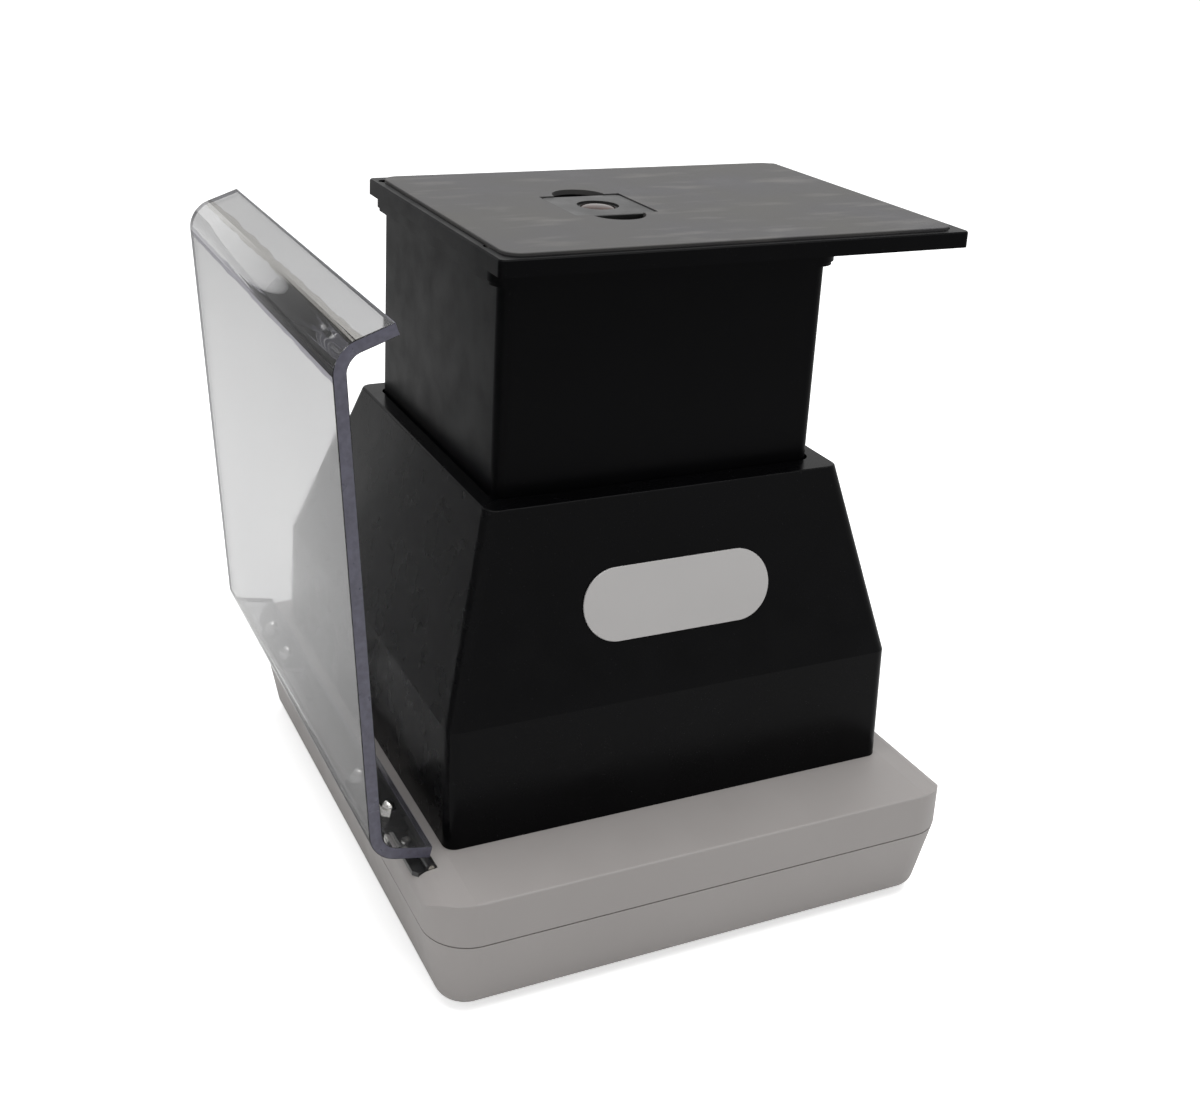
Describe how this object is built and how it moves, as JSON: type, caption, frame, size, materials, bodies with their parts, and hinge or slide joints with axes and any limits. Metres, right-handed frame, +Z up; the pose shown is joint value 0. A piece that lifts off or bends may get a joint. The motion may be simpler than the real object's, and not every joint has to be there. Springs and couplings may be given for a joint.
{
  "type": "uv transilluminator with viewing hood",
  "caption": "Bench ultraviolet light box with a telescoping black viewing hood, offset phone tray and hinged clear shield.",
  "frame": {"origin": "on the bench, under the middle of the footprint box", "axes": "+X to the right of the front, +Y to the back, +Z up"},
  "size_m": [0.3299, 0.32, 0.3385],
  "materials": {
    "housing_grey": "fine-grained moulded plastic",
    "rubber_black": "matt rubber",
    "zinc_steel": "zinc-plated steel",
    "uv_glass": "dark ultraviolet-pass filter glass",
    "stainless": "brushed stainless sheet",
    "lamp_glass": "lamp tube",
    "white_plastic": "white moulded plastic",
    "bright_aluminium": "polished sheet",
    "ballast_case": "painted steel case",
    "panel_black": "powder-coated sheet",
    "nylon_black": "black moulded nylon",
    "fuse_glass": "glass fuse",
    "clear_acrylic": "clear bent acrylic sheet with dark cut edges",
    "hinge_black": "black coated steel",
    "hood_black": "glossy black moulded plastic",
    "tower_black": "satin black moulded plastic",
    "felt_black": "black felt",
    "name_plate_grey": "blank light plate",
    "mat_grey": "mottled dark grey grained mat",
    "amber_glass": "amber filter glass"
  },
  "bodies": {
    "base": {"base_upper_cover": "housing_grey", "base_lower_tray": "housing_grey", "base_feet": "rubber_black", "base_screws": "zinc_steel", "uv_filter_glass": "uv_glass", "glass_bezel": "stainless", "uv_lamps": "lamp_glass", "lamp_end_bars": "white_plastic", "reflector": "bright_aluminium", "ballasts": "ballast_case", "rear_panel": "panel_black", "panel_screws": "zinc_steel", "mains_inlet": "nylon_black", "switch_housing": "nylon_black", "fuse_holder": "nylon_black", "fuse": "fuse_glass", "hinge_fixed_leaves": "hinge_black", "hinge_pins": "zinc_steel", "hinge_screws": "zinc_steel"},
    "shield": {"uv_shield": "clear_acrylic", "hinge_moving_leaves": "hinge_black", "shield_bolts": "zinc_steel", "shield_nuts": "zinc_steel"},
    "hood": {"hood_shell": "hood_black", "friction_pads": "felt_black", "name_plate": "name_plate_grey"},
    "tower": {"tower_shell": "tower_black", "tower_stop_frame": "tower_black", "tower_collar": "tower_black", "phone_tray": "tower_black", "tray_screws": "zinc_steel", "tray_mat": "mat_grey"},
    "filter": {"filter_holder": "nylon_black", "filter_glass": "amber_glass", "filter_ring": "nylon_black"},
    "rocker": {"power_rocker": "nylon_black"},
    "fuse_cap_body": {"fuse_cap": "nylon_black"}
  },
  "joints": [
    {"name": "shield_hinge", "type": "hinge", "parent": "base", "child": "shield", "pos_m": [-0.1205, 0.012, 0.063], "axis": [0, 1, 0], "range_deg": [0, 10]},
    {"name": "hood_lift", "type": "slide", "parent": "base", "child": "hood", "axis": [0, 0, 1], "range_m": [0, 0.06]},
    {"name": "tower_slide", "type": "slide", "parent": "hood", "child": "tower", "axis": [0, 0, 1], "range_m": [-0.095, 0]},
    {"name": "filter_lift", "type": "slide", "parent": "tower", "child": "filter", "axis": [0, 0, 1], "range_m": [0, 0.015]},
    {"name": "rocker_tilt", "type": "hinge", "parent": "base", "child": "rocker", "pos_m": [-0.0045, 0.1486, 0.02325], "axis": [1, 0, 0], "range_deg": [-20, 0]},
    {"name": "fuse_cap_turn", "type": "hinge", "parent": "base", "child": "fuse_cap_body", "pos_m": [0.0175, 0.15, 0.02325], "axis": [0, 1, 0], "range_deg": [0, 90]}
  ]
}
